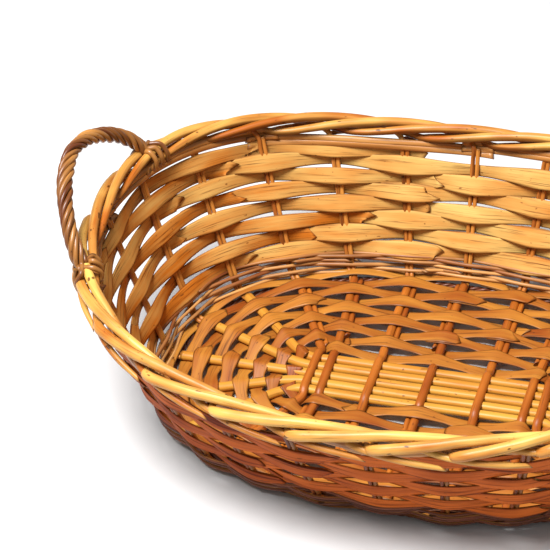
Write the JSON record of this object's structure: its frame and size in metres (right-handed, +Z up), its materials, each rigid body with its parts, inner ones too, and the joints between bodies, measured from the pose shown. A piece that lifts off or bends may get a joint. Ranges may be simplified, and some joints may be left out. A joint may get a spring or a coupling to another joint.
{
  "type": "oval fruit basket",
  "caption": "Oval woven willow fruit basket: open slath base of pierced sticks, flared flat-strip walls, coiled border and a bow handle at each end.",
  "frame": {"origin": "on the floor under the middle of the basket", "axes": "+X along the basket towards one handle, +Y across it, +Z up"},
  "size_m": [0.4968, 0.3418, 0.1806],
  "materials": {
    "peeled_rod": "pale peeled willow, smooth with a soft sheen",
    "cross_stick": "orange-brown willow, smooth",
    "base_strip": "split willow, orange-brown with fine grain",
    "wall_strip": "split willow, golden inside and reddish brown outside, fine grain",
    "wale_rod": "thin brown willow rods, satin",
    "split_rod": "half-round split willow, golden brown",
    "border_rod": "golden willow with a soft sheen",
    "handle_rod": "twisted brown willow, glossy in places"
  },
  "bodies": {
    "root": {"long_rod_1": "peeled_rod", "long_rod_2": "peeled_rod", "long_rod_3": "peeled_rod", "long_rod_4": "peeled_rod", "long_rod_5": "peeled_rod", "cross_stick_1": "cross_stick", "cross_stick_2": "cross_stick", "cross_stick_3": "cross_stick", "cross_stick_4": "cross_stick", "cross_stick_5": "cross_stick", "cross_stick_6": "cross_stick", "cross_stick_7": "cross_stick", "base_weaver_1": "base_strip", "base_weaver_2": "base_strip", "base_weaver_3": "base_strip", "base_weaver_4": "base_strip", "base_weaver_5": "base_strip", "base_weaver_6": "base_strip", "base_weaver_7": "base_strip", "base_weaver_8": "base_strip", "foot_ring": "wale_rod", "foot_wale_1": "wale_rod", "foot_wale_2": "wale_rod", "side_weaver_1": "wall_strip", "side_weaver_2": "wall_strip", "side_weaver_3": "wall_strip", "side_weaver_4": "wall_strip", "side_weaver_5": "wall_strip", "side_weaver_6": "wall_strip", "side_weaver_7": "wall_strip", "top_wale": "split_rod", "stake_01": "border_rod", "stake_02": "border_rod", "stake_03": "border_rod", "stake_04": "border_rod", "stake_05": "border_rod", "stake_06": "border_rod", "stake_07": "border_rod", "stake_08": "border_rod", "stake_09": "border_rod", "stake_10": "border_rod", "stake_11": "border_rod", "stake_12": "border_rod", "stake_13": "border_rod", "stake_14": "border_rod", "stake_15": "border_rod", "stake_16": "border_rod", "stake_17": "border_rod", "stake_18": "border_rod", "stake_19": "border_rod", "stake_20": "border_rod", "stake_21": "border_rod", "stake_22": "border_rod", "stake_23": "border_rod", "stake_24": "border_rod", "handle_right": "handle_rod", "handle_left": "handle_rod"}
  },
  "joints": []
}
